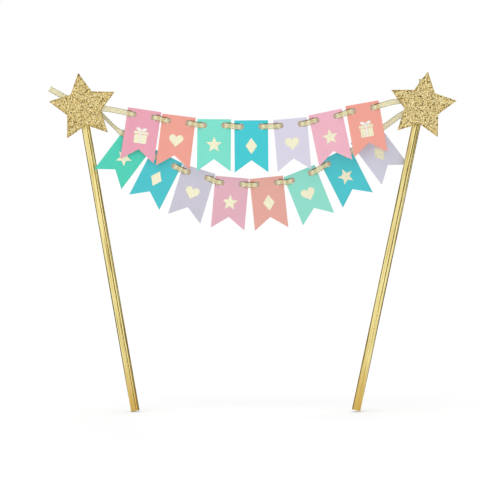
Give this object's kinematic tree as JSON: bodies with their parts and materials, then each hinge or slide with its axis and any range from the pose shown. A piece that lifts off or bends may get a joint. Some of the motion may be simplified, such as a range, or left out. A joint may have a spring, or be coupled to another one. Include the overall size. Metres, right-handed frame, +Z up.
{
  "type": "bunting cake topper",
  "caption": "Bunting cake topper: leaning foil straws topped with glitter stars carry ribbons threaded with swallow-tail card flags that swing.",
  "frame": {"origin": "midway between the feet of the two straws, at the height of the lowest straw edge", "axes": "+X to the right along the rows of flags, +Y to the back, +Z up"},
  "size_m": [0.2615, 0.0097, 0.2178],
  "materials": {
    "straw_paper": "matt rolled paper",
    "gold_foil": "metallic gold foil paper",
    "glitter_card": "coarse gold glitter",
    "foam_pad": "closed-cell foam",
    "card_pink": "matt card",
    "card_coral": "matt card",
    "card_mint": "matt card",
    "card_teal": "matt card",
    "card_lilac": "matt card",
    "ribbon": "woven metallic ribbon"
  },
  "bodies": {
    "poles": {"left_straw_core": "straw_paper", "left_straw_foil": "gold_foil", "left_star": "glitter_card", "left_star_pad": "foam_pad", "right_straw_core": "straw_paper", "right_straw_foil": "gold_foil", "right_star": "glitter_card", "right_star_pad": "foam_pad", "upper_ribbon": "ribbon", "lower_ribbon": "ribbon"},
    "upper_flag_1": {"upper_flag_1": "card_pink"},
    "upper_flag_2": {"upper_flag_2": "card_coral"},
    "upper_flag_3": {"upper_flag_3": "card_mint"},
    "upper_flag_4": {"upper_flag_4": "card_teal"},
    "upper_flag_5": {"upper_flag_5": "card_lilac"},
    "upper_flag_6": {"upper_flag_6": "card_pink"},
    "upper_flag_7": {"upper_flag_7": "card_coral"},
    "lower_flag_1": {"lower_flag_1": "card_mint"},
    "lower_flag_2": {"lower_flag_2": "card_teal"},
    "lower_flag_3": {"lower_flag_3": "card_lilac"},
    "lower_flag_4": {"lower_flag_4": "card_pink"},
    "lower_flag_5": {"lower_flag_5": "card_coral"},
    "lower_flag_6": {"lower_flag_6": "card_mint"},
    "lower_flag_7": {"lower_flag_7": "card_teal"},
    "lower_flag_8": {"lower_flag_8": "card_lilac"}
  },
  "joints": [
    {"name": "upper_flag_1_swing", "type": "hinge", "parent": "poles", "child": "upper_flag_1", "pos_m": [-0.06527, -0.0043, 0.18953], "axis": [0.989, 0, -0.1478], "range_deg": [-40, 1.5], "deforming": ["upper_ribbon"]},
    {"name": "upper_flag_2_swing", "type": "hinge", "parent": "poles", "child": "upper_flag_2", "pos_m": [-0.04312, -0.0043, 0.18567], "axis": [0.9925, 0, -0.1219], "range_deg": [-40, 2], "deforming": ["upper_ribbon"]},
    {"name": "upper_flag_3_swing", "type": "hinge", "parent": "poles", "child": "upper_flag_3", "pos_m": [-0.02017, -0.0043, 0.1834], "axis": [1, 0, -0.0087], "range_deg": [-40, 2.5], "deforming": ["upper_ribbon"]},
    {"name": "upper_flag_4_swing", "type": "hinge", "parent": "poles", "child": "upper_flag_4", "pos_m": [0.0035, -0.0043, 0.18266], "axis": [1, 0, 0.0087], "range_deg": [-40, 40], "deforming": ["upper_ribbon"]},
    {"name": "upper_flag_5_swing", "type": "hinge", "parent": "poles", "child": "upper_flag_5", "pos_m": [0.02866, -0.0043, 0.1838], "axis": [0.9962, 0, 0.0872], "range_deg": [-40, 4], "deforming": ["upper_ribbon"]},
    {"name": "upper_flag_6_swing", "type": "hinge", "parent": "poles", "child": "upper_flag_6", "pos_m": [0.05153, -0.0043, 0.18805], "axis": [0.9781, 0, 0.2079], "range_deg": [-40, 5], "deforming": ["upper_ribbon"]},
    {"name": "upper_flag_7_swing", "type": "hinge", "parent": "poles", "child": "upper_flag_7", "pos_m": [0.07504, -0.0043, 0.19366], "axis": [0.9848, 0, 0.1736], "range_deg": [-40, 6], "deforming": ["upper_ribbon"]},
    {"name": "lower_flag_1_swing", "type": "hinge", "parent": "poles", "child": "lower_flag_1", "pos_m": [-0.07059, -0.0024, 0.17253], "axis": [0.7982, 0.0257, -0.6018], "range_deg": [-4.5, 0.8], "deforming": ["lower_ribbon"]},
    {"name": "lower_flag_2_swing", "type": "hinge", "parent": "poles", "child": "lower_flag_2", "pos_m": [-0.05168, -0.00179, 0.16044], "axis": [0.8905, 0.0287, -0.454], "range_deg": [-20, 20], "deforming": ["lower_ribbon"]},
    {"name": "lower_flag_3_swing", "type": "hinge", "parent": "poles", "child": "lower_flag_3", "pos_m": [-0.03087, -0.00112, 0.15178], "axis": [0.9558, 0.0308, -0.2924], "range_deg": [-40, 25], "deforming": ["lower_ribbon"]},
    {"name": "lower_flag_4_swing", "type": "hinge", "parent": "poles", "child": "lower_flag_4", "pos_m": [-0.00905, -0.00042, 0.14639], "axis": [0.9957, 0.0321, -0.0872], "range_deg": [-40, 40], "deforming": ["lower_ribbon"]},
    {"name": "lower_flag_5_swing", "type": "hinge", "parent": "poles", "child": "lower_flag_5", "pos_m": [0.01358, 0.00031, 0.14636], "axis": [0.994, 0.0321, 0.1045], "range_deg": [-40, 40], "deforming": ["lower_ribbon"]},
    {"name": "lower_flag_6_swing", "type": "hinge", "parent": "poles", "child": "lower_flag_6", "pos_m": [0.03577, 0.00103, 0.15071], "axis": [0.9267, 0.0299, 0.3746], "range_deg": [-40, 40], "deforming": ["lower_ribbon"]},
    {"name": "lower_flag_7_swing", "type": "hinge", "parent": "poles", "child": "lower_flag_7", "pos_m": [0.05874, 0.00177, 0.16194], "axis": [0.8905, 0.0287, 0.454], "range_deg": [-40, 40], "deforming": ["lower_ribbon"]},
    {"name": "lower_flag_8_swing", "type": "hinge", "parent": "poles", "child": "lower_flag_8", "pos_m": [0.07839, 0.0024, 0.17555], "axis": [0.7982, 0.0257, 0.6018], "range_deg": [-0.4, 40], "deforming": ["lower_ribbon"]}
  ]
}
